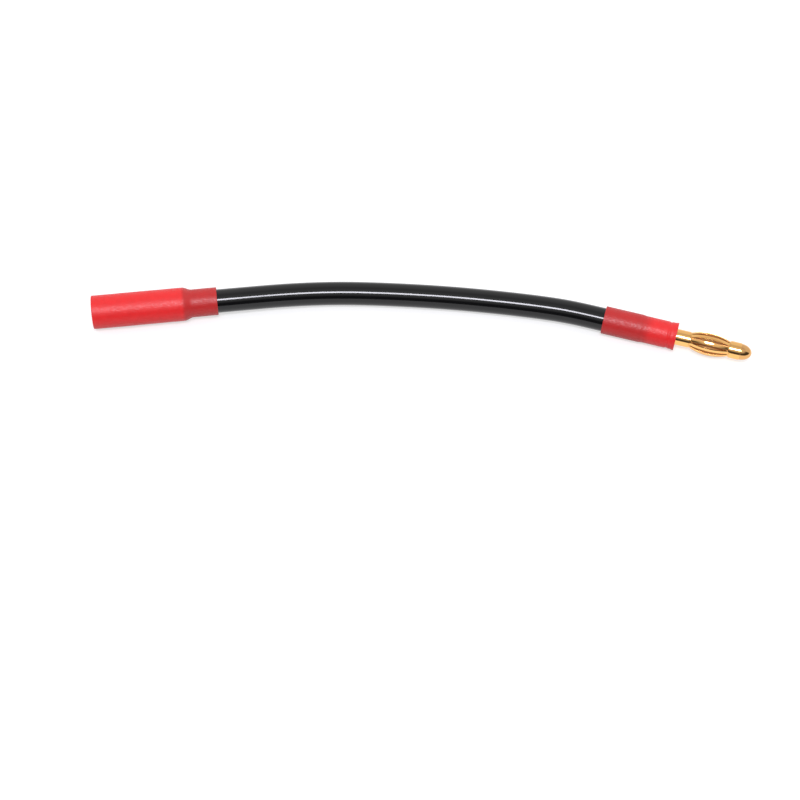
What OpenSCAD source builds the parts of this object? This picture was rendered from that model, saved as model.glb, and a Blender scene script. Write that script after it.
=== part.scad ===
// Extension lead with a round crimped plug at one end and a round crimped socket at the other.
// A short stranded wire lies in a shallow bow, and each contact is covered by a shrunk sleeve.
// The lead lies on the plane z = 0, with its socket towards -X and its plug towards +X.

/* [Wire] */
// Distance along X between the mouths of the two wire cups
wire_span = 90.6; // [60:0.1:160]
// Outside diameter of the insulation
wire_d = 4.7; // [4:0.1:5.4]
// Diameter of the stranded conductor
conductor_d = 2.6; // [2:0.1:3]

/* [Sleeves] */
// Wall of the shrunk sleeves
sleeve_wall = 0.4; // [0.3:0.05:0.6]
// Length of wire under the socket's sleeve
socket_tail = 6.8; // [4:0.1:8]
// Length over which the socket's sleeve closes down onto the wire
socket_taper = 1.9; // [1:0.1:3]
// How far the socket's sleeve reaches past the socket's mouth
socket_over = 0.4; // [0.2:0.1:2]
// Length of wire under the plug's sleeve
plug_tail = 7.3; // [4:0.1:8]
// Length over which the plug's sleeve passes from the wire to the barrel
plug_taper = 1; // [0.5:0.1:2]
// How far the plug's sleeve reaches past the collar
plug_over = 0.1; // [0:0.05:0.6]
// How far the front edge of the plug's sleeve stands out
lip_rise = 0.12; // [0:0.02:0.2]
// Length of that raised front edge
lip_len = 0.8; // [0.4:0.1:1]

/* [Socket] */
// Outside diameter of the socket
socket_d = 5.8; // [5.2:0.1:7]
// Length of the socket, from the wire cup's mouth to the mating mouth
socket_len = 17.4; // [16.9:0.1:24]
// Diameter of the mating bore
bore_d = 4; // [3.4:0.1:4.4]
// Depth of the mating bore at its full diameter
bore_depth = 10.5; // [8:0.1:10.9]
// Width of the lead-in at the mating mouth
lead_in = 0.3; // [0.1:0.05:0.5]

/* [Crimp cups] */
// Depth of both wire cups at their full diameter
cup_depth = 4.4; // [3:0.1:4.8]
// Diameter of the sight hole at the bottom of each cup
sight_d = 1.2; // [0.8:0.1:1.6]
// Number of crimp dents round each cup
dent_count = 4; // [2:1:6]
// Depth of the crimp dents
dent_depth = 0.4; // [0.2:0.05:0.6]
// Diameter of the crimp dents at their bottom
dent_d = 0.9; // [0.6:0.1:1.4]

/* [Plug] */
// Outside diameter of the crimp barrel and its collar
barrel_d = 4.5; // [4.2:0.1:5.4]
// Length of the barrel, from the cup's mouth to the collar's face
barrel_len = 7.2; // [6.8:0.1:10]
// Length of the collar in front of the ring groove
collar_len = 1; // [0.9:0.1:1.6]
// Width of the ring groove
ring_w = 0.8; // [0.4:0.05:1]
// Depth of the ring groove
ring_depth = 0.25; // [0.1:0.05:0.4]
// Diameter of the shank
shank_d = 3.2; // [3:0.1:3.6]
// Length of the shank between the collar and the spring
shank_len = 2.8; // [1:0.1:6]
// Diameter of the nose
nose_d = 3.4; // [3.3:0.1:3.8]
// Length of the straight part of the nose
nose_len = 2.2; // [1:0.1:4]
// Diameter of the rounded tip where it leaves the nose
tip_d = 3.2; // [2.8:0.1:3.2]
// Length of the rounded tip
tip_len = 2.2; // [1.6:0.1:4]

/* [Lantern spring] */
// Length of the groove that holds the spring
spring_seat = 7.9; // [6:0.1:12]
// Diameter across the leaves at their highest
crest_d = 4.5; // [4:0.1:5]
// Thickness of the spring's sheet
sheet_t = 0.22; // [0.15:0.01:0.3]
// How far the spring's end bands lie below the nose's surface
band_sink = 0.17; // [0.05:0.01:0.3]
// Length of each end band
band_len = 0.2; // [0.1:0.05:0.8]
// Number of leaves
leaf_count = 11; // [6:1:12]
// Width of the slots in the flat sheet, and so between the leaves at their ends
slot_w = 0.2; // [0.1:0.02:0.4]
// Turn of the spring about the plug's axis
spring_turn = 2; // [0:1:60]

/* [Edges and fits] */
// Width of the broken edges on the turned metal
edge = 0.15; // [0.05:0.05:0.25]
// Gap between a pressed or shrunk piece and what it grips
grip_gap = 0.02; // [0.01:0.01:0.05]
// Gap round the spring in its groove
spring_gap = 0.03; // [0.01:0.01:0.08]

/* [Hidden] */
$fn = 72;

// Slope of the cone that a drill's point leaves at the bottom of a hole
drill_rise = 31;
// Steps in each eased or rounded stretch of a turned outline
curve_steps = 8;
// Sides of the swept tubes
insulation_sides = 12;
conductor_sides = 8;

red = "#d4303a";
gold = "#d8a442";
black = "#1d1d20";
copper = "#b8734a";

wire_r = wire_d / 2;
conductor_r = conductor_d / 2;
cup_r = conductor_r + grip_gap;
socket_r = socket_d / 2;
bore_r = bore_d / 2;
barrel_r = barrel_d / 2;
shank_r = shank_d / 2;
nose_r = nose_d / 2;
tip_r = tip_d / 2;
crest_r = crest_d / 2;
band_r = nose_r - band_sink;
core_r = band_r - sheet_t - spring_gap;

// Heights of the plug's steps above the mouth of its cup
ring_z = barrel_len - collar_len - ring_w;
groove_z = barrel_len + shank_len;
nose_z = groove_z + spring_seat;
tip_z = nose_z + nose_len;
spring_len = spring_seat - 2 * spring_gap;
leaf_len = spring_len - 2 * band_len;

// The wire's axis from the socket's cup to the plug's cup: place along X and Y, and how far it is
// lifted from lying on the plane (0) to the height of the connector at that end (1). Its places
// along X are stretched together to the span.
route = [
    [-47.1, 0.56, 1], [-39.5, 2, 1], [-34, 3.24, 0.7], [-28, 4.55, 0.4],
    [-22, 5.59, 0.15], [-16, 6.3, 0], [-10, 6.59, 0], [-4, 6.72, 0],
    [2, 6.75, 0], [8, 6.64, 0], [14, 6.38, 0], [20, 5.98, 0.1],
    [26, 5.38, 0.4], [31, 4.56, 0.75], [35.5, 3.46, 1], [43.5, 1.74, 1]
];
last = len(route) - 1;
stretch = wire_span / (route[last].x - route[0].x);
socket_axis_z = sleeve_wall + grip_gap + max(socket_r, wire_r);
plug_axis_z = sleeve_wall + grip_gap + max(barrel_r, wire_r);

function end_height(x) = x < 0 ? socket_axis_z : plug_axis_z;
function axis_point(p) = [stretch * p.x, p.y, wire_r + p.z * (end_height(p.x) - wire_r)];
axis = [for (p = route) axis_point(p)];

function unit(v) = v / norm(v);
socket_dir = unit(axis[0] - axis[1]);
plug_dir = unit(axis[last] - axis[last - 1]);

// Depth of the drill's point below a hole of radius r
function point_depth(r) = r * tan(drill_rise);

// Smooth step from a to b as t goes from 0 to 1
function ease(a, b, t) = a + (b - a) * (1 - cos(180 * t)) / 2;

// Inner outline of a sleeve from the wire's end to a body; it eases beside the wider of the two
function shrunk_line(body_r, tail, taper) =
    let (start = body_r > wire_r ? -taper : 0)
    concat(
        [[wire_r + grip_gap, -tail]],
        [for (i = [0 : curve_steps])
            let (t = i / curve_steps)
            [ease(wire_r, body_r, t) + grip_gap, start + taper * t]]
    );

// Direction of the wire at point i of its axis
function heading(line, i) = unit(line[min(i + 1, len(line) - 1)] - line[max(i - 1, 0)]);

// One ring of a swept tube, with its first corner straight down
function ring(centre, dir, r, sides) =
    let (side = unit(cross([0, 0, 1], dir)), up = cross(dir, side))
    [for (k = [0 : sides - 1])
        centre + r * (sin(360 * k / sides) * side - cos(360 * k / sides) * up)];

function rings(line, r, sides) =
    [for (i = [0 : len(line) - 1]) each ring(line[i], heading(line, i), r, sides)];

// Faces of the wall between neighbouring rings; flip turns them inwards
function wall_faces(count, sides, first, flip) =
    [for (i = [0 : count - 2], k = [0 : sides - 1])
        let (
            a = first + i * sides + k,
            b = first + i * sides + (k + 1) % sides
        )
        flip ? [b, a, a + sides, b + sides] : [a, b, b + sides, a + sides]];

// Puts a piece turned about its own Z on a point, with that Z along a direction
module seat(point, dir) {
    translate(point)
        rotate([0, acos(dir.z), atan2(dir.y, dir.x)])
            children();
}

// Shrunk tube of even wall outside an inner outline
module shrunk_tube(inner) {
    outer = [for (i = [len(inner) - 1 : -1 : 0]) inner[i] + [sleeve_wall, 0]];
    rotate_extrude()
        polygon(concat(inner, outer));
}

// Drilled hole from z = 0 upwards, with the drill's point at its bottom
module drilled_hole(r, depth) {
    rotate_extrude()
        polygon([[0, -edge], [r, -edge], [r, depth], [0, depth + point_depth(r)]]);
}

// What the drill and the crimping tool take from a barrel: the wire's cup, the sight hole through
// one side beside the cup's bottom, and the ring of dents midway between that hole and the mouth
module crimp_cup(outer_r) {
    drilled_hole(cup_r, cup_depth);
    translate([0, 0, cup_depth - sight_d / 2])
        rotate([0, 90, 0])
            cylinder(d = sight_d, h = outer_r + edge);
    for (k = [0 : dent_count - 1])
        rotate([0, 0, 360 * (k + 0.5) / dent_count])
            translate([outer_r - dent_depth, 0, (cup_depth - sight_d) / 2])
                rotate([0, 90, 0])
                    cylinder(
                        d1 = dent_d,
                        d2 = dent_d + 2 * (dent_depth + edge),
                        h = dent_depth + edge
                    );
}

// Turned socket: mating bore in front, crimp cup behind, and a web between them
module socket_body() {
    section = [
        [0, 0],
        [socket_r - edge, 0],
        [socket_r, edge],
        [socket_r, socket_len - edge],
        [socket_r - edge, socket_len],
        [0, socket_len]
    ];
    color(gold)
        seat(axis[0], socket_dir)
            difference() {
                rotate_extrude()
                    polygon(section);
                crimp_cup(socket_r);
                translate([0, 0, socket_len])
                    mirror([0, 0, 1])
                        drilled_hole(bore_r, bore_depth);
                translate([0, 0, socket_len - lead_in])
                    cylinder(r1 = bore_r, r2 = bore_r + lead_in + edge, h = lead_in + edge);
            }
}

// Sleeve over the whole socket and the start of the wire
module socket_sleeve() {
    front = socket_len + socket_over;
    inner = concat(
        shrunk_line(socket_r, socket_tail, socket_taper),
        [[socket_r + grip_gap, front]]
    );
    color(red)
        seat(axis[0], socket_dir)
            shrunk_tube(inner);
}

// Insulation: a hollow tube that butts against the rims of both crimp cups
module wire_insulation() {
    count = len(axis);
    sides = insulation_sides;
    inner_first = count * sides;
    points = concat(
        rings(axis, wire_r, sides),
        rings(axis, (conductor_r + grip_gap) / cos(180 / sides), sides)
    );
    ends = [for (i = [0, count - 1], k = [0 : sides - 1])
        let (
            a = i * sides + k,
            b = i * sides + (k + 1) % sides
        )
        i == 0
            ? [b, a, a + inner_first, b + inner_first]
            : [a, b, b + inner_first, a + inner_first]];
    faces = concat(
        wall_faces(count, sides, 0, false),
        wall_faces(count, sides, inner_first, true),
        ends
    );
    color(black)
        polyhedron(points, faces);
}

// Stranded conductor, with both stripped ends seated in the crimp cups
module wire_conductor() {
    line = concat(
        [axis[0] + cup_depth * socket_dir],
        axis,
        [axis[last] + cup_depth * plug_dir]
    );
    count = len(line);
    sides = conductor_sides;
    final = (count - 1) * sides;
    faces = concat(
        wall_faces(count, sides, 0, false),
        [[for (k = [sides - 1 : -1 : 0]) k]],
        [[for (k = [0 : sides - 1]) final + k]]
    );
    color(copper)
        polyhedron(rings(line, conductor_r, sides), faces);
}

// Sleeve over the wire's other end and the plug's barrel, pressed into the ring groove
module plug_sleeve() {
    front = barrel_len + plug_over;
    grip_r = barrel_r + grip_gap;
    inner = concat(
        shrunk_line(barrel_r, plug_tail, plug_taper),
        [
            [grip_r, ring_z],
            [grip_r - ring_depth / 2, ring_z + ring_w / 2],
            [grip_r, ring_z + ring_w],
            [grip_r, front - lip_len],
            [grip_r + lip_rise, front]
        ]
    );
    color(red)
        seat(axis[last], plug_dir)
            shrunk_tube(inner);
}

// Turned pin: crimp barrel with a ring groove and collar, shank, spring groove and rounded nose
module plug_pin() {
    tip = [for (i = [0 : curve_steps])
        let (a = 90 * i / curve_steps)
        [tip_r * cos(a), tip_z + tip_len * sin(a)]];
    section = concat(
        [
            [0, 0],
            [barrel_r - edge, 0],
            [barrel_r, edge],
            [barrel_r, ring_z],
            [barrel_r - ring_depth, ring_z],
            [barrel_r - ring_depth, ring_z + ring_w],
            [barrel_r, ring_z + ring_w],
            [barrel_r, barrel_len - edge],
            [barrel_r - edge, barrel_len],
            [shank_r, barrel_len],
            [shank_r, groove_z],
            [core_r, groove_z],
            [core_r, nose_z],
            [nose_r, nose_z],
            [nose_r, tip_z]
        ],
        tip
    );
    color(gold)
        seat(axis[last], plug_dir)
            difference() {
                rotate_extrude()
                    polygon(section);
                crimp_cup(barrel_r);
            }
}

// What the slots leave of the rolled sheet: a band at each end, and leaves between the bands. The
// leaves keep their width as they bow out, so the slots open towards the crest
module bands_and_leaves() {
    leaf_w = 2 * PI * band_r / leaf_count - slot_w;
    for (z = [-spring_gap, spring_len - band_len])
        translate([0, 0, z])
            cylinder(r = crest_r, h = band_len + spring_gap);
    for (k = [0 : leaf_count - 1])
        rotate([0, 0, 360 * (k + 0.5) / leaf_count])
            translate([0, -leaf_w / 2, -spring_gap])
                cube([crest_d, leaf_w, spring_seat]);
}

// Lantern spring: slotted sheet rolled into a barrel, open at one seam and sprung into its groove
module plug_spring() {
    half = leaf_len / 2;
    rise = crest_r - band_r;
    bow_r = (half * half + rise * rise) / (2 * rise);
    bow = [for (i = [0 : 2 * curve_steps])
        let (z = half * (i / curve_steps - 1))
        [crest_r - bow_r + sqrt(bow_r * bow_r - z * z), band_len + half + z]];
    outer = concat([[band_r, 0]], bow, [[band_r, spring_len]]);
    inner = [for (i = [len(outer) - 1 : -1 : 0]) outer[i] - [sheet_t, 0]];
    color(gold)
        seat(axis[last], plug_dir)
            translate([0, 0, groove_z + spring_gap])
                rotate([0, 0, spring_turn])
                    difference() {
                        intersection() {
                            rotate_extrude()
                                polygon(concat(outer, inner));
                            bands_and_leaves();
                        }
                        // The seam: the first slot runs on through both bands
                        translate([0, -slot_w / 2, -spring_gap])
                            cube([crest_d, slot_w, spring_seat]);
                    }
}

socket_body();
socket_sleeve();
wire_insulation();
wire_conductor();
plug_sleeve();
plug_pin();
plug_spring();
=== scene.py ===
import math

import bmesh
import bpy
from mathutils import Matrix, Vector, noise


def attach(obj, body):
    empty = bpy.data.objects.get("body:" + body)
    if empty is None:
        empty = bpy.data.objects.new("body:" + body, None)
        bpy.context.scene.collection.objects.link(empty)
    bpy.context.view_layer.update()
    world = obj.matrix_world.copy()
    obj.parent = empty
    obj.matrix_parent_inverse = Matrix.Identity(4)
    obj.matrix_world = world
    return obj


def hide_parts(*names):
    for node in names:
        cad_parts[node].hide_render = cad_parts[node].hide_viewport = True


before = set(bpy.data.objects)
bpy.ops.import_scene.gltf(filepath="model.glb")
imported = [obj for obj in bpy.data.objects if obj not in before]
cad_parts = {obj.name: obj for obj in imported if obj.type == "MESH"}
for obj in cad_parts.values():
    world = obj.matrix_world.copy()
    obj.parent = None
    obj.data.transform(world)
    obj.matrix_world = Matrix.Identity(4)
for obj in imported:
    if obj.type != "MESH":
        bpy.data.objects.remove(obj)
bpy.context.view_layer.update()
scene = bpy.context.scene

# Camera: held in front of the lead and looking steeply down on it, as at a lead laid on a table.
# It is turned a little to the left and rolled a little, as a camera held by hand is.
camera_place = Vector((0.0035, -0.19956, 0.28007))
camera_left = math.radians(2.0)
camera_dip = math.radians(56.86)
camera_roll = math.radians(1.78)
sensor_mm = 36.0
lens_mm = 77.63
camera_data = bpy.data.cameras.new("camera")
camera_data.sensor_width = sensor_mm
camera_data.lens = lens_mm
camera = bpy.data.objects.new("camera", camera_data)
camera.matrix_world = (
    Matrix.Translation(camera_place)
    @ Matrix.Rotation(camera_left, 4, "Z")
    @ Matrix.Rotation(math.pi / 2 - camera_dip, 4, "X")
    @ Matrix.Rotation(camera_roll, 4, "Z")
)
scene.collection.objects.link(camera)
scene.camera = camera

# Insulated wire: soft black insulation, extruded to a high gloss round a bundle of copper strands.
# It keeps a bow from the reel, runs from crimp cup to crimp cup, and lies on the table between them.
wire_d = 0.0047
wire_r = wire_d / 2
wire_hole_d = 0.00264
wire_steps_round = 14
wire_steps_along = 12
route = [
    Vector((-0.0471, 0.00056, 0.00332)),
    Vector((-0.0395, 0.002, 0.00332)),
    Vector((-0.034, 0.00324, 0.003029)),
    Vector((-0.028, 0.00455, 0.002738)),
    Vector((-0.022, 0.00559, 0.0024955)),
    Vector((-0.016, 0.0063, 0.00235)),
    Vector((-0.01, 0.00659, 0.00235)),
    Vector((-0.004, 0.00672, 0.00235)),
    Vector((0.002, 0.00675, 0.00235)),
    Vector((0.008, 0.00664, 0.00235)),
    Vector((0.014, 0.00638, 0.00235)),
    Vector((0.02, 0.00598, 0.002392)),
    Vector((0.026, 0.00538, 0.002518)),
    Vector((0.031, 0.00456, 0.002665)),
    Vector((0.0355, 0.00346, 0.00277)),
    Vector((0.0435, 0.00174, 0.00277)),
]


def node(tree, kind, *places, settings=None, **named):
    """Adds a shader node. Its inputs are given by place or by name, and a socket is linked to them."""
    made = tree.nodes.new("ShaderNode" + kind)
    for name, value in (settings or {}).items():
        setattr(made, name, value)
    inputs = [(made.inputs[i], value) for i, value in enumerate(places) if value is not None]
    inputs += [(made.inputs[name.replace("_", " ")], value) for name, value in named.items()]
    for socket, value in inputs:
        if isinstance(value, bpy.types.NodeSocket):
            tree.links.new(value, socket)
        else:
            socket.default_value = value
    return made


def colour_between(tree, share, first, second):
    """Colour output that goes from the first colour to the second as the share goes from 0 to 1."""
    mix = node(tree, "Mix", settings={"data_type": "RGBA"})
    for place, value in ((0, share), (6, first), (7, second)):
        if isinstance(value, bpy.types.NodeSocket):
            tree.links.new(value, mix.inputs[place])
        else:
            mix.inputs[place].default_value = value
    return mix.outputs[2]


def value_between(tree, value, low, high, first=0.0, last=1.0):
    """Value output that goes smoothly from first to last as the value goes from low to high."""
    ranged = node(
        tree, "MapRange", value, low, high, first, last, settings={"interpolation_type": "SMOOTHSTEP"}
    )
    return ranged.outputs[0]


def new_material(name):
    """Node material with its tree and its shader."""
    material = bpy.data.materials.new(name)
    material.use_nodes = True
    return material, material.node_tree, material.node_tree.nodes["Principled BSDF"]


def new_group(name, inputs, outputs):
    """Shader node group with value inputs (vectors where named Vector) and value outputs."""
    group = bpy.data.node_groups.new(name, "ShaderNodeTree")
    for label in inputs:
        kind = "NodeSocketVector" if label == "Vector" else "NodeSocketFloat"
        group.interface.new_socket(label, in_out="INPUT", socket_type=kind)
    for label in outputs:
        group.interface.new_socket(label, in_out="OUTPUT", socket_type="NodeSocketFloat")
    start = group.nodes.new("NodeGroupInput")
    end = group.nodes.new("NodeGroupOutput")
    return group, start.outputs, end.inputs


# Dust: a few pale specks that settle on everything, one in some of the cells of a fine net
dust, dust_in, dust_out = new_group("dust", ["Vector", "Cells", "Reach", "Share"], ["Speck"])
net = node(dust, "TexVoronoi", dust_in["Vector"], Scale=dust_in["Cells"])
pick = node(dust, "SeparateColor", net.outputs["Color"])
picked = node(dust, "Math", pick.outputs[0], dust_in["Share"], settings={"operation": "LESS_THAN"})
near = node(dust, "Math", net.outputs["Distance"], dust_in["Reach"], settings={"operation": "LESS_THAN"})
speck = node(dust, "Math", picked.outputs[0], near.outputs[0], settings={"operation": "MULTIPLY"})
dust.links.new(speck.outputs[0], dust_out["Speck"])

black_deep = (0.0025, 0.0025, 0.003, 1)
black_worn = (0.0045, 0.0045, 0.0052, 1)
dust_pale = (0.30, 0.30, 0.31, 1)
wire_dust = {"Cells": 420.0, "Reach": 0.03, "Share": 0.09}
drawn_stretch = (6.0, 24.0, 1.0)
drawn_span = (0.35, 0.65)
drawn_gloss = (0.09, 0.12)
insulation, tree, shader = new_material("black_insulation")
along = node(tree, "TexCoord")
streaks = node(
    tree, "Mapping", along.outputs["UV"], settings={"vector_type": "POINT"}, Scale=drawn_stretch
)
drawn = node(tree, "TexNoise", streaks.outputs[0], Scale=1.0, Detail=3.0)
cloud = node(tree, "TexNoise", along.outputs["Object"], Scale=300.0, Detail=2.0)
specks = node(tree, "Group", settings={"node_tree": dust}, Vector=along.outputs["Object"], **wire_dust)
body_black = colour_between(tree, cloud.outputs["Fac"], black_deep, black_worn)
dusted = colour_between(tree, specks.outputs["Speck"], body_black, dust_pale)
tree.links.new(dusted, shader.inputs["Base Color"])
gloss = value_between(tree, drawn.outputs["Fac"], *drawn_span, *drawn_gloss)
tree.links.new(gloss, shader.inputs["Roughness"])
ripple = node(tree, "Bump", Strength=0.03, Distance=0.00006, Height=drawn.outputs["Fac"])
tree.links.new(ripple.outputs[0], shader.inputs["Normal"])
shader.inputs["IOR"].default_value = 1.46

line = bpy.data.curves.new("wire_line", "CURVE")
line.dimensions = "3D"
line.bevel_depth = wire_r
line.bevel_resolution = wire_steps_round
spline = line.splines.new("NURBS")
spline.points.add(len(route) - 1)
for point, place in zip(spline.points, route):
    point.co = (*place, 1.0)
spline.order_u = 4
spline.use_endpoint_u = True
spline.resolution_u = wire_steps_along
line_holder = bpy.data.objects.new("wire_line", line)
scene.collection.objects.link(line_holder)
drawn_line = line_holder.evaluated_get(bpy.context.evaluated_depsgraph_get())
wire = bpy.data.objects.new("insulated_wire", bpy.data.meshes.new_from_object(drawn_line))
bpy.data.objects.remove(line_holder)
scene.collection.objects.link(wire)
wire.data.materials.append(insulation)
wall = wire.modifiers.new("wall", "SOLIDIFY")
wall.thickness = (wire_d - wire_hole_d) / 2
wall.offset = -1
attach(wire, "root")
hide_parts("wire_insulation")

# Conductor: a bundle of fine bare copper strands, twisted together, with its stripped ends in the cups.
# The insulation and the sleeves hide all of it, so the solid keeps its place and gets the strands' look.
copper_bright = (0.80, 0.42, 0.26, 1)
copper_dull = (0.36, 0.16, 0.09, 1)
strand_twist = math.radians(20)
strands, tree, shader = new_material("copper_strands")
twist = node(
    tree,
    "Mapping",
    node(tree, "TexCoord").outputs["Object"],
    settings={"vector_type": "POINT"},
    Rotation=(0.0, 0.0, strand_twist),
)
lay = node(tree, "TexWave", twist.outputs[0], Scale=900.0, Distortion=1.5, Detail=2.0)
copper = colour_between(tree, lay.outputs["Fac"], copper_dull, copper_bright)
tree.links.new(copper, shader.inputs["Base Color"])
furrows = node(tree, "Bump", Strength=0.6, Distance=0.0001, Height=lay.outputs["Fac"])
tree.links.new(furrows.outputs[0], shader.inputs["Normal"])
shader.inputs["Metallic"].default_value = 1.0
shader.inputs["Roughness"].default_value = 0.35
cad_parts["wire_conductor"].material_slots[0].material = strands

# Plug pin: turned from brass bar and gold plated. Its barrel is drilled as a cup for the strands and
# crimped with four dents. A ring groove, a collar, the shank, the spring's groove and the nose follow.
broken_edge = 0.00015
cup_r = 0.00132
cup_depth = 0.0044
drill_slope = math.tan(math.radians(31))
sight_r = 0.0006
dent_count = 4
dent_depth = 0.0004
dent_r = 0.00045
barrel_r = 0.00225
barrel_len = 0.0072
ring_z = 0.0054
ring_w = 0.0008
ring_depth = 0.00025
shank_r = 0.0016
groove_z = 0.01
groove_r = 0.00128
nose_r = 0.0017
nose_z = 0.0179
tip_z = 0.0201
tip_r = 0.0016
tip_len = 0.0022
tip_steps = 28
metal_bevel = 0.00004
tool_sides = 32
merge_reach = 1e-7
# Inside this radius, deep in the cup and in the spring's groove, the gold is painted darker: painted shade.
painted_shade_r = 0.0014
# The dome is painted a darker gold by this share: a painted dark reflection.
dome_painted_dark = 0.7


def seat_on(end, before):
    """Placing matrix of a turned piece: its Z runs on along the wire, and its X points down."""
    heading = end - before
    turn = Matrix.Rotation(math.atan2(heading.y, heading.x), 4, "Z")
    return Matrix.Translation(end) @ turn @ Matrix.Rotation(math.pi / 2, 4, "Y")


def turned(outline, steps=128):
    """Form turned about its own Z from an outline of radius and height pairs."""
    form = bmesh.new()
    corners = [form.verts.new((radius, 0.0, height)) for radius, height in outline]
    sides = [form.edges.new(pair) for pair in zip(corners, corners[1:])]
    bmesh.ops.spin(
        form,
        geom=corners + sides,
        cent=(0, 0, 0),
        axis=(0, 0, 1),
        angle=math.tau,
        steps=steps,
        use_merge=True,
    )
    bmesh.ops.remove_doubles(form, verts=form.verts, dist=merge_reach)
    bmesh.ops.recalc_face_normals(form, faces=form.faces)
    return form


def soften(form, width, over=math.radians(20), segments=3):
    """Rounds the edges of a form that turn by more than an angle."""
    hard = [edge for edge in form.edges if edge.calc_face_angle(0.0) > over]
    bmesh.ops.bevel(
        form,
        geom=hard,
        offset=width,
        offset_type="OFFSET",
        affect="EDGES",
        segments=segments,
        profile=0.5,
        material=-1,
        clamp_overlap=True,
    )


def finished(name, form, place, material):
    """Piece from a form put in its place, smooth all over, riding on the lead's one body."""
    bmesh.ops.transform(form, matrix=place, verts=form.verts)
    for face in form.faces:
        face.smooth = True
    mesh = bpy.data.meshes.new(name)
    form.to_mesh(mesh)
    form.free()
    mesh.materials.append(material)
    piece = bpy.data.objects.new(name, mesh)
    scene.collection.objects.link(piece)
    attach(piece, "root")
    return piece


def crimp(form, outer_r):
    """Cuts the sight hole and the ring of crimp dents into a barrel."""
    tools = bmesh.new()
    inside = Matrix.Rotation(math.pi / 2, 4, "Y")
    reach = outer_r + broken_edge
    sight = Matrix.Translation((reach / 2, 0, cup_depth - sight_r)) @ inside
    bmesh.ops.create_cone(
        tools,
        cap_ends=True,
        segments=tool_sides,
        radius1=sight_r,
        radius2=sight_r,
        depth=reach,
        matrix=sight,
    )
    deep = dent_depth + broken_edge
    for k in range(dent_count):
        round_axis = Matrix.Rotation(math.tau * (k + 0.5) / dent_count, 4, "Z")
        middle = Matrix.Translation((reach - deep / 2, 0, cup_depth / 2 - sight_r))
        bmesh.ops.create_cone(
            tools,
            cap_ends=True,
            segments=tool_sides,
            radius1=dent_r,
            radius2=dent_r + deep,
            depth=deep,
            matrix=round_axis @ middle @ inside,
        )
    holders = []
    for name, shape in (("barrel", form), ("tools", tools)):
        mesh = bpy.data.meshes.new(name)
        shape.to_mesh(mesh)
        shape.free()
        holders.append(bpy.data.objects.new(name, mesh))
        scene.collection.objects.link(holders[-1])
    cut = holders[0].modifiers.new("cut", "BOOLEAN")
    cut.object = holders[1]
    cut.solver = "EXACT"
    crimped = bmesh.new()
    crimped.from_object(holders[0], bpy.context.evaluated_depsgraph_get())
    bmesh.ops.remove_doubles(crimped, verts=crimped.verts, dist=merge_reach)
    for holder in holders:
        bpy.data.objects.remove(holder)
    return crimped


# Gold plate: tone and gloss wander a little over the plating, and the lathe's or the press's fine lines
# stay in the metal below it
noise_span = (0.3, 0.7)
gold_gloss = (0.06, 0.1)
line_stretch = (300.0, 300.0, 9000.0)
plate, plate_in, plate_out = new_group("gold_plate", ["Vector", "Lines"], ["Tone", "Gloss", "Height"])
wander = node(plate, "TexNoise", plate_in["Vector"], Scale=700.0, Detail=3.0)
stretch = node(plate, "VectorMath", plate_in["Vector"], line_stretch, settings={"operation": "MULTIPLY"})
lines = node(plate, "TexNoise", stretch.outputs[0], Scale=1.0, Detail=2.0)
height = node(plate, "Math", lines.outputs["Fac"], plate_in["Lines"], settings={"operation": "MULTIPLY"})
polish = value_between(plate, wander.outputs["Fac"], *noise_span, *gold_gloss)
plate.links.new(wander.outputs["Fac"], plate_out["Tone"])
plate.links.new(polish, plate_out["Gloss"])
plate.links.new(height.outputs[0], plate_out["Height"])

gold_light = (1.0, 0.60, 0.23, 1)
gold_deep = (0.93, 0.48, 0.15, 1)
# Darker gold mixed in by the painted-shade mask: painted shade in the recesses, and a painted dark
# reflection on the dome.
gold_painted_shade = (0.68, 0.37, 0.15, 1)
dull_from = 0.8
dull_by = 0.3
lathe_marks = 1.0


def gold_finish(name, place, marks):
    """Gold whose fine lines run round the axis of a piece, as strong as marks, painted darker in the
    recesses and on the dome, and rougher where the painted shade is full.
    """
    material, tree, shader = new_material(name)
    turned_to = node(
        tree,
        "Mapping",
        node(tree, "TexCoord").outputs["Object"],
        settings={"vector_type": "TEXTURE"},
        Location=place.translation,
        Rotation=place.to_euler(),
    )
    plating = node(
        tree, "Group", settings={"node_tree": plate}, Vector=turned_to.outputs[0], Lines=marks
    )
    tone = colour_between(tree, plating.outputs["Tone"], gold_deep, gold_light)
    # Painted shade: this mask darkens the gold in the recesses, and on the dome as a painted dark
    # reflection.
    shade_mask = node(tree, "Attribute", settings={"attribute_name": "shade_painted_on"})
    tone = colour_between(tree, shade_mask.outputs["Fac"], tone, gold_painted_shade)
    tree.links.new(tone, shader.inputs["Base Color"])
    dulled = value_between(tree, shade_mask.outputs["Fac"], dull_from, 1.0, 0.0, dull_by)
    gloss = node(tree, "Math", plating.outputs["Gloss"], dulled, settings={"operation": "ADD"})
    tree.links.new(gloss.outputs[0], shader.inputs["Roughness"])
    bump = node(tree, "Bump", Strength=0.12, Distance=0.00002, Height=plating.outputs["Height"])
    tree.links.new(bump.outputs[0], shader.inputs["Normal"])
    shader.inputs["Metallic"].default_value = 1.0
    return material


def mark_painted_shade(form, shade_at):
    """Stores on a form's points how strongly the gold is painted darker there (painted shade), worked out
    from radius and height.
    """
    layer = form.verts.layers.float.new("shade_painted_on")
    for vert in form.verts:
        vert[layer] = shade_at(vert.co.xy.length, vert.co.z)


def even_shading(piece):
    """Keeps long faces shaded true beside narrow rounded edges: each counts for its area."""
    sums = [Vector() for _ in piece.data.vertices]
    for face in piece.data.polygons:
        for corner in face.vertices:
            sums[corner] += face.normal * face.area
    piece.data.normals_split_custom_set_from_vertices([total.normalized() for total in sums])


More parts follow.
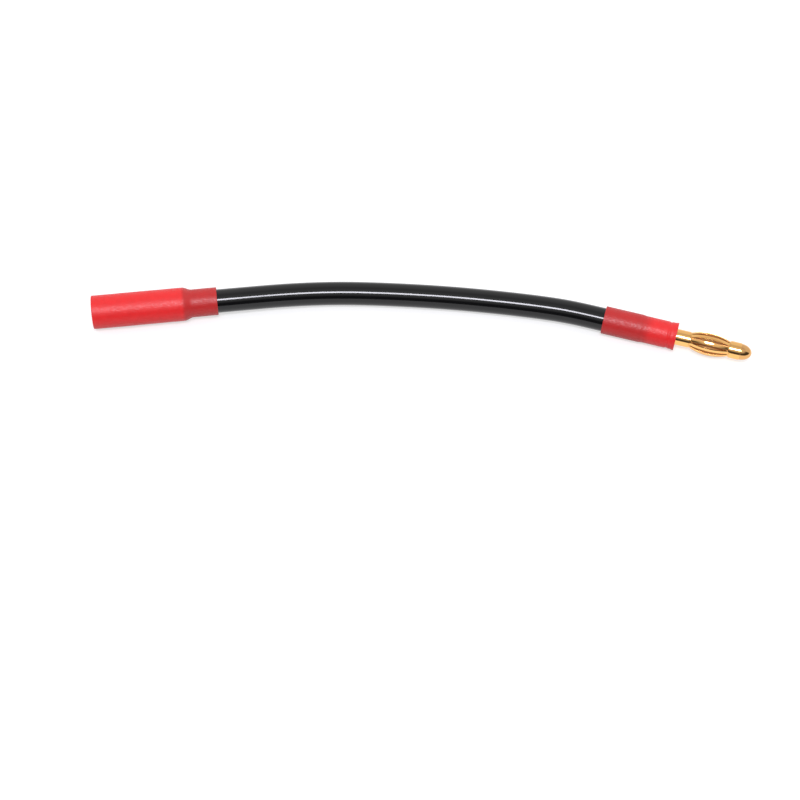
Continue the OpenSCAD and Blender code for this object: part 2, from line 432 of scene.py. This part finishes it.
def pin_painted_shade(radius, height):
    """Painted shade deep in the cup and the spring's groove, and a painted dark reflection on the dome that
    leads the way.
    """
    if height > tip_z - metal_bevel / 2:
        return dome_painted_dark
    return 1.0 if radius < painted_shade_r and height < nose_z else 0.0


plug_place = seat_on(route[-1], route[-2])
tip = [
    (tip_r * math.cos(angle), tip_z + tip_len * math.sin(angle))
    for angle in [math.pi / 2 * i / tip_steps for i in range(tip_steps)]
]
cup_outline = [
    (0.0, cup_depth + cup_r * drill_slope),
    (cup_r, cup_depth),
    (cup_r, 0.0),
]
pin_outline = [
    *cup_outline,
    (barrel_r - broken_edge, 0.0),
    (barrel_r, broken_edge),
    (barrel_r, ring_z),
    (barrel_r - ring_depth, ring_z),
    (barrel_r - ring_depth, ring_z + ring_w),
    (barrel_r, ring_z + ring_w),
    (barrel_r, barrel_len - broken_edge),
    (barrel_r - broken_edge, barrel_len),
    (shank_r, barrel_len),
    (shank_r, groove_z),
    (groove_r, groove_z),
    (groove_r, nose_z),
    (nose_r, nose_z),
    (nose_r, tip_z),
    *tip,
    (0.0, tip_z + tip_len),
]
pin_form = turned(pin_outline)
soften(pin_form, metal_bevel)
pin_form = crimp(pin_form, barrel_r)
mark_painted_shade(pin_form, pin_painted_shade)
pin_gold = gold_finish("gold_turned_pin", plug_place, lathe_marks)
pin = finished("turned_pin", pin_form, plug_place, pin_gold)
even_shading(pin)
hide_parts("plug_pin")

# Lantern spring: thin sheet, slotted into eleven leaves between two bands, rolled into a barrel that
# is open at one seam, gold plated, and sprung into the groove of the pin. Its leaves bow out to grip
# and keep their width, so the slots open into windows on the core of the pin.
leaf_count = 11
leaf_turn = math.radians(2)
slot_w = 0.0002
sheet_t = 0.00022
band_r = 0.00153
band_len = 0.0002
crest_r = 0.00225
leaf_w = math.tau * band_r / leaf_count - slot_w
spring_gap = 0.00003
spring_len = nose_z - groove_z - 2 * spring_gap
leaf_columns = 10
leaf_rows = 36
sheet_bevel = 0.00002
square_edge = math.radians(60)
press_marks = 0.3


def leaf_radius(height):
    """Outside radius of the spring at a height: an arc between the two bands."""
    half = spring_len / 2 - band_len
    rise = crest_r - band_r
    arc_r = (half * half + rise * rise) / (2 * rise)
    from_middle = min(abs(height - spring_len / 2), half)
    return crest_r - arc_r + math.sqrt(arc_r * arc_r - from_middle * from_middle)


def rolled_spring():
    """Sheet of leaves and bands as a flat grid, slotted, rolled up and given its thickness."""
    lines_per_leaf = leaf_columns + 1
    lines_in_all = leaf_count * lines_per_leaf
    rows = leaf_rows + 2
    form = bmesh.new()
    bmesh.ops.create_grid(form, x_segments=lines_in_all - 1, y_segments=rows, size=0.5)
    columns = {}
    for vert in form.verts:
        column = round((vert.co.x + 0.5) * (lines_in_all - 1))
        row = round((vert.co.y + 0.5) * rows)
        columns[vert] = (column, row)
    slots = []
    for face in form.faces:
        left = min(columns[vert][0] for vert in face.verts)
        low = min(columns[vert][1] for vert in face.verts)
        if left % lines_per_leaf == leaf_columns and 0 < low < rows - 1:
            slots.append(face)
    for vert, (column, row) in columns.items():
        inner_row = min(max(row - 1, 0), leaf_rows)
        height = band_len + (spring_len - 2 * band_len) * inner_row / leaf_rows
        if row in (0, rows):
            height = spring_len * row / rows
        radius = leaf_radius(height)
        leaf, place = divmod(column, lines_per_leaf)
        half_leaf = math.asin(leaf_w / 2 / radius)
        across = 2 * place / leaf_columns - 1
        angle = leaf_turn + math.tau * (leaf + 0.5) / leaf_count + across * half_leaf
        vert.co = (radius * math.cos(angle), radius * math.sin(angle), height)
    bmesh.ops.delete(form, geom=slots, context="FACES")
    bmesh.ops.recalc_face_normals(form, faces=form.faces)
    if form.faces[0].normal.dot(form.faces[0].calc_center_median() * Vector((1, 1, 0))) < 0:
        bmesh.ops.reverse_faces(form, faces=form.faces)
    bmesh.ops.solidify(form, geom=form.faces, thickness=sheet_t)
    return form


spring_place = plug_place @ Matrix.Translation((0, 0, groove_z + spring_gap))
spring_form = rolled_spring()
soften(spring_form, sheet_bevel, over=square_edge, segments=2)
# Painted shade: the inner faces of the leaves are painted darker, so the windows look dark.
mark_painted_shade(spring_form, lambda radius, height: float(radius < leaf_radius(height) - sheet_t / 2))
spring_gold = gold_finish("gold_sheet", plug_place, press_marks)
spring = finished("lantern_spring", spring_form, spring_place, spring_gold)
even_shading(spring)
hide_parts("plug_spring")

# Socket body: turned from brass bar and gold plated, with a bored mouth in front that takes a plug, a
# web, and the same crimped cup behind as the plug's.
socket_r = 0.0029
socket_len = 0.0174
bore_r = 0.002
bore_depth = 0.0105
lead_in = 0.0003
socket_place = seat_on(route[0], route[1])
socket_outline = [
    *cup_outline,
    (socket_r - broken_edge, 0.0),
    (socket_r, broken_edge),
    (socket_r, socket_len - broken_edge),
    (socket_r - broken_edge, socket_len),
    (bore_r + lead_in, socket_len),
    (bore_r, socket_len - lead_in),
    (bore_r, socket_len - bore_depth),
    (0.0, socket_len - bore_depth - bore_r * drill_slope),
]
socket_form = turned(socket_outline)
soften(socket_form, metal_bevel)
socket_form = crimp(socket_form, socket_r)
# Painted shade: the bore's walls inside the mouth are painted darker.
mark_painted_shade(socket_form, lambda radius, height: float(radius < bore_r + metal_bevel))
socket_gold = gold_finish("gold_turned_socket", socket_place, lathe_marks)
socket = finished("turned_socket", socket_form, socket_place, socket_gold)
even_shading(socket)
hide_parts("socket_body")

# Sleeves: red heat-shrink tube, slid over each joint and shrunk on with hot air, so that it closes down
# on the wire. It is a little translucent: it shows bright over the metal and dull over the black wire.
sleeve_wall = 0.0004
grip_gap = 0.00002
ring_step = 0.000125
sleeve_steps = 96
waver = 0.000012
waver_size = 0.003
cut_bevel = 0.00008
red_over_metal = (0.82, 0.014, 0.016, 1)
red_over_wire = (0.53, 0.013, 0.014, 1)
dust_on_red = (0.6, 0.4, 0.4, 1)
sleeve_dust = {"Cells": 500.0, "Reach": 0.025, "Share": 0.05}
blotch_range = (0.97, 1.03)
satin_range = (0.36, 0.53)
red_shrink, tree, shader = new_material("red_shrink")
over_metal = node(tree, "Attribute", settings={"attribute_name": "over_metal"})
spot = node(tree, "TexCoord").outputs["Object"]
grain = node(tree, "TexNoise", spot, Scale=3400.0, Detail=2.0)
blotch = node(tree, "TexNoise", spot, Scale=800.0, Detail=2.0)
red = colour_between(tree, over_metal.outputs["Fac"], red_over_wire, red_over_metal)
patchy = value_between(tree, blotch.outputs["Fac"], *noise_span, *blotch_range)
shaded = node(tree, "HueSaturation", Color=red, Value=patchy)
specks = node(tree, "Group", settings={"node_tree": dust}, Vector=spot, **sleeve_dust)
dusted = colour_between(tree, specks.outputs["Speck"], shaded.outputs[0], dust_on_red)
tree.links.new(dusted, shader.inputs["Base Color"])
satin = value_between(tree, grain.outputs["Fac"], *noise_span, *satin_range)
tree.links.new(satin, shader.inputs["Roughness"])
pebble = node(tree, "Bump", Strength=1.0, Distance=0.00005, Height=grain.outputs["Fac"])
tree.links.new(pebble.outputs[0], shader.inputs["Normal"])
shader.inputs["Specular IOR Level"].default_value = 0.55


def ease(first, last, share):
    """Smooth step from first to last as the share goes from 0 to 1."""
    share = min(max(share, 0.0), 1.0)
    return first + (last - first) * (1 - math.cos(math.pi * share)) / 2


def shrunk(name, inner_radius, rear, front, tone_span, place):
    """Sleeve of even wall outside an inner radius that follows its height, with the tone's share stored."""
    dull_to, bright_from = tone_span
    steps = round((front - rear) / ring_step)
    heights = [rear + (front - rear) * i / steps for i in range(steps + 1)]
    inner = [(inner_radius(height), height) for height in heights]
    outer = [(radius + sleeve_wall, height) for radius, height in reversed(inner)]
    form = turned([*inner, *outer, inner[0]], steps=sleeve_steps)
    soften(form, cut_bevel, over=square_edge)
    tone = form.verts.layers.float.new("over_metal")
    for vert in form.verts:
        radial = Vector((vert.co.x, vert.co.y, 0.0))
        vert[tone] = ease(0.0, 1.0, (vert.co.z - dull_to) / (bright_from - dull_to))
        if radial.length > inner_radius(vert.co.z) + sleeve_wall / 2:
            vert.co += radial.normalized() * waver * noise.noise(vert.co / waver_size)
    piece = finished(name, form, place, red_shrink)
    return piece


socket_tail = 0.0068
socket_taper = 0.0019
socket_over = 0.0004
socket_tone_span = (-0.0005, 0.0003)


def socket_sleeve_radius(height):
    """Inner radius of the socket's sleeve: the wire's behind the cup's mouth, the socket's beyond it."""
    return ease(wire_r, socket_r, height / socket_taper + 1) + grip_gap


socket_sleeve = shrunk(
    "socket_heat_shrink",
    socket_sleeve_radius,
    -socket_tail,
    socket_len + socket_over,
    socket_tone_span,
    socket_place,
)
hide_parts("socket_sleeve")

plug_tail = 0.0073
plug_taper = 0.001
plug_over = 0.0001
lip_rise = 0.00012
lip_len = 0.0008
plug_front = barrel_len + plug_over
plug_tone_span = (0.0, 0.003)


def plug_sleeve_radius(height):
    """Inner radius of the plug's sleeve: the wire's, then the barrel's, in at the ring, out at the lip."""
    radius = ease(wire_r, barrel_r, height / plug_taper) + grip_gap
    in_ring = ease(0.0, 1.0, 1 - abs(height - ring_z - ring_w / 2) / (ring_w / 2))
    in_lip = ease(0.0, 1.0, 1 - (plug_front - height) / lip_len)
    return radius - ring_depth / 2 * in_ring + lip_rise * in_lip


plug_sleeve = shrunk(
    "plug_heat_shrink",
    plug_sleeve_radius,
    -plug_tail,
    plug_front,
    plug_tone_span,
    plug_place,
)
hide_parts("plug_sleeve")

# Table: a plain white sheet under the lead. It keeps the lead's soft shadow, and a little light of its
# own, which only the camera and reflections see, makes it white.
floor_half = 1.5
floor_z = -0.00003
floor_white = (0.5, 0.5, 0.5, 1)
floor_glow = 0.6
plain_white = (1, 1, 1, 1)
floor_form = bmesh.new()
floor_place = Matrix.Translation((0, 0, floor_z))
bmesh.ops.create_grid(floor_form, x_segments=2, y_segments=2, size=floor_half, matrix=floor_place)
floor_mesh = bpy.data.meshes.new("table")
floor_form.to_mesh(floor_mesh)
floor_form.free()
floor = bpy.data.objects.new("table", floor_mesh)
scene.collection.objects.link(floor)
white_sheet, tree, shader = new_material("white_sheet")
shader.inputs["Base Color"].default_value = floor_white
shader.inputs["Roughness"].default_value = 0.9
shader.inputs["Specular IOR Level"].default_value = 0.1
path = node(tree, "LightPath")
seen = node(
    tree,
    "Math",
    path.outputs["Is Camera Ray"],
    path.outputs["Is Glossy Ray"],
    settings={"operation": "ADD"},
)
seen = node(
    tree,
    "Math",
    seen.outputs[0],
    path.outputs["Is Transmission Ray"],
    settings={"operation": "ADD"},
)
glow = node(
    tree,
    "Math",
    seen.outputs[0],
    floor_glow,
    settings={"operation": "MULTIPLY", "use_clamp": True},
)
shader.inputs["Emission Color"].default_value = plain_white
tree.links.new(glow.outputs[0], shader.inputs["Emission Strength"])
floor_mesh.materials.append(white_sheet)

# Light: a long lamp box over the camera, a little cool, draws the thin bright line along the gloss, and
# the ceiling glows softly round it. The walls are pale, and the side behind the camera is dark.
lamp_height = math.radians(66)
lamp_distance = 0.6
lamp_side = Vector((0.0, -math.cos(lamp_height), math.sin(lamp_height)))
lamp_long = 0.2
lamp_wide = 0.12
lamp_watts = 1.95
lamp_cool = (0.98, 0.98, 1.07)
lamp_data = bpy.data.lights.new("lamp_box", "AREA")
lamp_data.shape = "RECTANGLE"
lamp_data.size = lamp_long
lamp_data.size_y = lamp_wide
lamp_data.energy = lamp_watts
lamp_data.color = lamp_cool
lamp = bpy.data.objects.new("lamp_box", lamp_data)
lamp.location = lamp_side * lamp_distance
lamp.rotation_euler = (math.pi / 2 - lamp_height, 0, 0)
scene.collection.objects.link(lamp)

room_wall = (0.86, 0.86, 0.86, 1)
room_ceiling = (0.55, 0.55, 0.55, 1)
room_dark = (0.07, 0.07, 0.07, 1)
room_glow = (0.85, 0.85, 0.85, 1)
ceiling_edge = (0.7, 1.0)
dark_height = math.radians(31)
dark_side = (0.0, -math.cos(dark_height), math.sin(dark_height))
dark_spread = (0.2, 1.0, 1.0)
dark_edge = (0.72, 0.9)
glow_edge = (0.73, 1.0)
world = bpy.data.worlds.new("room")
world.use_nodes = True
scene.world = world
tree = world.node_tree
around = node(tree, "TexCoord").outputs["Generated"]
upward = node(tree, "SeparateXYZ", around)
overhead = value_between(tree, upward.outputs["Z"], *ceiling_edge)
pale = colour_between(tree, overhead, room_wall, room_ceiling)
narrowed = node(tree, "VectorMath", around, dark_spread, settings={"operation": "MULTIPLY"})
aim = node(tree, "VectorMath", narrowed.outputs[0], settings={"operation": "NORMALIZE"})
towards = node(tree, "VectorMath", aim.outputs[0], dark_side, settings={"operation": "DOT_PRODUCT"})
darkness = value_between(tree, towards.outputs["Value"], *dark_edge)
room = colour_between(tree, darkness, pale, room_dark)
facing = node(tree, "VectorMath", around, lamp_side, settings={"operation": "DOT_PRODUCT"})
glowing = value_between(tree, facing.outputs["Value"], *glow_edge)
room = colour_between(tree, glowing, room, room_glow)
shown = colour_between(tree, node(tree, "LightPath").outputs["Is Camera Ray"], room, plain_white)
tree.links.new(shown, tree.nodes["Background"].inputs["Color"])
scene.view_settings.view_transform = "Standard"
